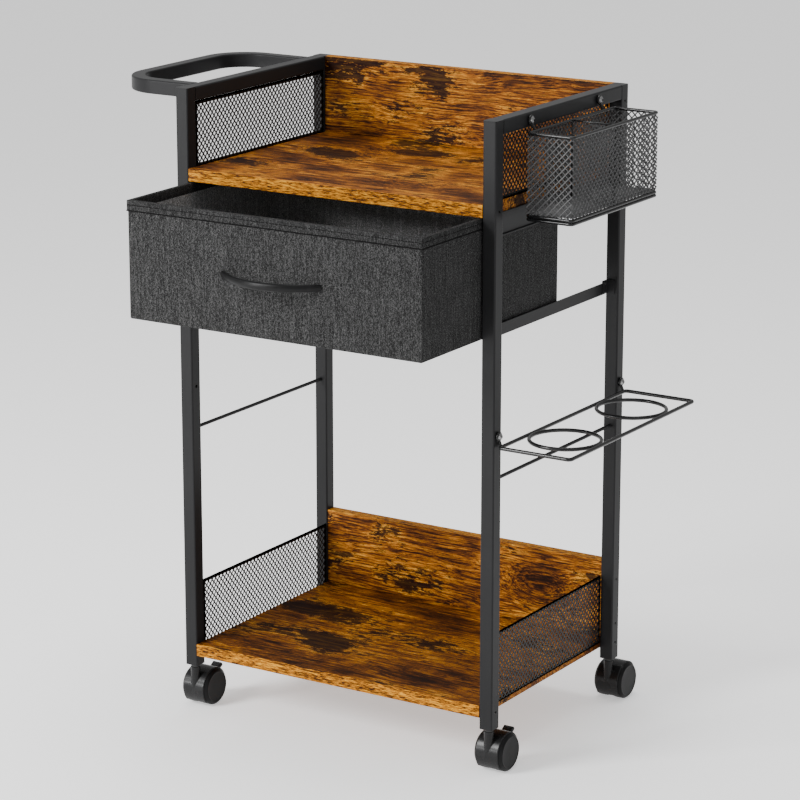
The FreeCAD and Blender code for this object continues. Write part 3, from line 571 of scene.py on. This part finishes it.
# Half a wheel's section in mm, as distance from the caster's middle and radius: the hub's inner
# face, the recess behind the tread, the tread, the rounded shoulder and the dished outer face.
WHEEL_SECTION = [(4.6, 2.6), (4.6, 12), (5.6, 13), (5.6, 21), (4.8, 22.6), (5.4, 23.6), (6.6, 24),
                 (15.8, 24), (16.8, 23.8), (17.6, 23.3), (19.1, 21.7), (19.8, 20.8), (20.0, 20.0),
                 (19.9, 19.4), (19.65, 19.0), (19.6, 18.4), (19.7, 9), (19.7, 0)]


def make_wheels():
    for corner in CORNERS:
        boxes = [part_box(f"{corner}_{hand}_wheel") for hand in ("inner", "outer")]
        middle_x = sum(Vector(low).x + Vector(high).x for low, high in boxes) / 4
        for hand in ("inner", "outer"):
            node = f"{corner}_{hand}_wheel"
            low, high = (Vector(place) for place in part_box(node))
            centre = (low + high) / 2
            side = 1 if centre.x > middle_x else -1
            centre.x = middle_x
            points = [(side * along * MM, radius * MM) for along, radius in WHEEL_SECTION]
            wheel = add_piece(node + "_body", spun(points, centre), WHEEL, node)
            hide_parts(node)


# A brake lever is a ribbed tab on an arm, with their places measured from the wheels' axle
TAB_HALF = Vector((7.2, 4.7, 2.4)) * MM
TAB_PLACE = Vector((0, 27.1, 18.1)) * MM
TAB_TILT = math.radians(30)
RIB_LOW = Vector((-5.2, -0.5, 2.1)) * MM
RIB_HIGH = Vector((5.2, 0.5, 2.75)) * MM
RIB_PITCH = 2.4 * MM
ARM_HALF = Vector((2.4, 7, 2.3)) * MM
ARM_PLACE = Vector((0, 19.2, 14.6)) * MM
ARM_TILT = math.radians(26)


def make_brakes():
    for corner in CORNERS[:2]:
        low, high = (Vector(place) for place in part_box(corner + "_brake_lever"))
        wheel_low, wheel_high = (Vector(place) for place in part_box(corner + "_outer_wheel"))
        axle = (wheel_low + wheel_high) / 2
        axle.x = (low.x + high.x) / 2
        bm = bmesh.new()
        add_box(bm, -TAB_HALF, TAB_HALF, 1.3 * MM, 3)
        for number in (-1, 0, 1):
            shift = Y * (number * RIB_PITCH)
            add_box(bm, RIB_LOW + shift, RIB_HIGH + shift, 0.25 * MM, 1)
        tab = Matrix.Translation(axle + TAB_PLACE) @ Matrix.Rotation(TAB_TILT, 4, "X")
        bmesh.ops.transform(bm, matrix=tab, verts=bm.verts)
        count = len(bm.verts)
        add_box(bm, -ARM_HALF, ARM_HALF, 0.5 * MM, 2)
        bm.verts.ensure_lookup_table()
        arm = Matrix.Translation(axle + ARM_PLACE) @ Matrix.Rotation(ARM_TILT, 4, "X")
        bmesh.ops.transform(bm, matrix=arm, verts=bm.verts[count:])
        lever = add_piece(corner + "_brake_tab", bm, HOOD, corner + "_brake")
        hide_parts(corner + "_brake_lever")


# Materials

FRAME_PAINT = powder_coat("frame_paint", 0.016, 0.34, gloss=0.1)
MESH_PAINT = powder_coat("mesh_paint", 0.010, 0.34, gloss=0.15)
WIRE_PAINT = powder_coat("wire_paint", 0.007, 0.26, gloss=0.35)
WEAVE_PAINT = powder_coat("weave_paint", 0.026, 0.42, gloss=1.0)
BOARD = rustic_wood("board", 3.1, 1)
BACK_BOARD = rustic_wood("back_board", 8.3, 2)
CLOTH = linen("cloth", 0.004, 0.105)
LINING = linen("lining", 0.12, 0.60, seed=4.2)
HEM_CLOTH = linen("hem_cloth", 0.005, 0.085, seed=1.7)
# Dark thread for the stitches, also used for the painted shadow line under the hem.
THREAD_AND_PAINTED_SHADE = linen("thread", 0.004, 0.012)
PULL = plastic("pull_plastic", 0.007, 0.34)
SCREW = metal("screw_metal", 0.05, 0.35)
BOLT = metal("bolt_metal", 0.30, 0.25)
ZINC = metal("zinc", 0.62, 0.3)
HOOD = plastic("hood_plastic", 0.010, 0.26, gloss=0.2)
WHEEL = plastic("wheel_plastic", 0.006, 0.40)
SLOT_MATERIALS = {
    "black_frame": FRAME_PAINT,
    "black_mesh": MESH_PAINT,
    "black_wire": WIRE_PAINT,
    "rustic_board": BOARD,
    "dark_fabric": CLOTH,
    "black_pull": PULL,
    "dark_screw": SCREW,
    "steel": ZINC,
    "black_plastic": HOOD,
    "wheel_plastic": WHEEL,
}


def dress_frame():
    """Gives each CAD node the material of its slot."""
    for part in frame["record"]["subparts"]:
        piece = frame["nodes"][part["node"]]
        material = SLOT_MATERIALS[part["material_slot"]]
        if part["node"].endswith("back_board"):
            material = BACK_BOARD
        if part["node"] == "accessory_bolts":
            material = BOLT
        for slot in piece.material_slots:
            slot.material = material


# Stage, light and camera

FLOOR_HALF = 30
FLOOR_GLOW = 0.55
SKY_STRENGTH = 0.55
CAMERA_LENS = 143.3
CAMERA_FROM_FOOT = Vector((2.0809, -3.3125, 1.3951))
CAMERA_PITCH = math.radians(14.963)
CAMERA_AZIMUTH = math.radians(32.187)


def area_light(name, place, aim, size, power):
    light = bpy.data.lights.new(name, "AREA")
    light.shape = "RECTANGLE"
    light.size, light.size_y = size
    light.energy = power
    lamp = bpy.data.objects.new(name, light)
    lamp.location = place
    lamp.rotation_euler = (Vector(aim) - Vector(place)).to_track_quat("-Z", "Y").to_euler()
    bpy.context.scene.collection.objects.link(lamp)


def make_stage():
    bm = bmesh.new()
    bmesh.ops.create_grid(bm, x_segments=1, y_segments=1, size=FLOOR_HALF)
    mesh = bpy.data.meshes.new("floor")
    bm.to_mesh(mesh)
    bm.free()
    floor = bpy.data.objects.new("floor", mesh)
    bpy.context.scene.collection.objects.link(floor)
    graph = Graph("floor_white")
    mesh.materials.append(graph.set(Base_Color=grey(0.9), Roughness=0.8, Emission_Color=grey(1.0),
                                    Emission_Strength=FLOOR_GLOW))
    world = bpy.data.worlds.new("studio")
    world.use_nodes = True
    world.node_tree.nodes["Background"].inputs["Color"].default_value = (1, 1, 1, 1)
    world.node_tree.nodes["Background"].inputs["Strength"].default_value = SKY_STRENGTH
    bpy.context.scene.world = world
    area_light("key", place=(-1.5, -2.7, 2.1), aim=(0, 0, 0.45), size=(1.1, 1.1), power=130)
    area_light("low", place=(-1.9, -3.0, 0.80), aim=(0.1, 0, 0.55), size=(0.9, 0.7), power=50)
    area_light("edge", place=(2.7, -1.7, 0.65), aim=(0.1, 0, 0.45), size=(0.16, 1.2), power=6)
    area_light("top", place=(0.0, 0.3, 3.0), aim=(0, 0, 0.4), size=(1.4, 1.4), power=45)


def make_camera():
    """The camera stands off from the middle of the posts' footprint and is pitched down."""
    posts = [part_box(corner + "_post") for corner in CORNERS]
    low = Vector([min(box[0][axis] for box in posts) for axis in range(3)])
    high = Vector([max(box[1][axis] for box in posts) for axis in range(3)])
    foot = Vector(((low.x + high.x) / 2, (low.y + high.y) / 2, low.z))
    data = bpy.data.cameras.new("camera")
    data.lens = CAMERA_LENS
    camera = bpy.data.objects.new("camera", data)
    camera.location = foot + CAMERA_FROM_FOOT
    camera.rotation_euler = (math.radians(90) - CAMERA_PITCH, 0, CAMERA_AZIMUTH)
    bpy.context.scene.collection.objects.link(camera)
    bpy.context.scene.camera = camera


dress_frame()
for part in frame["record"]["subparts"]:
    if part["node"].endswith("mesh_panel"):
        side_panel(part["node"])
make_basket()
make_drawer()
make_pull()
make_wheels()
make_brakes()
make_stage()
make_camera()
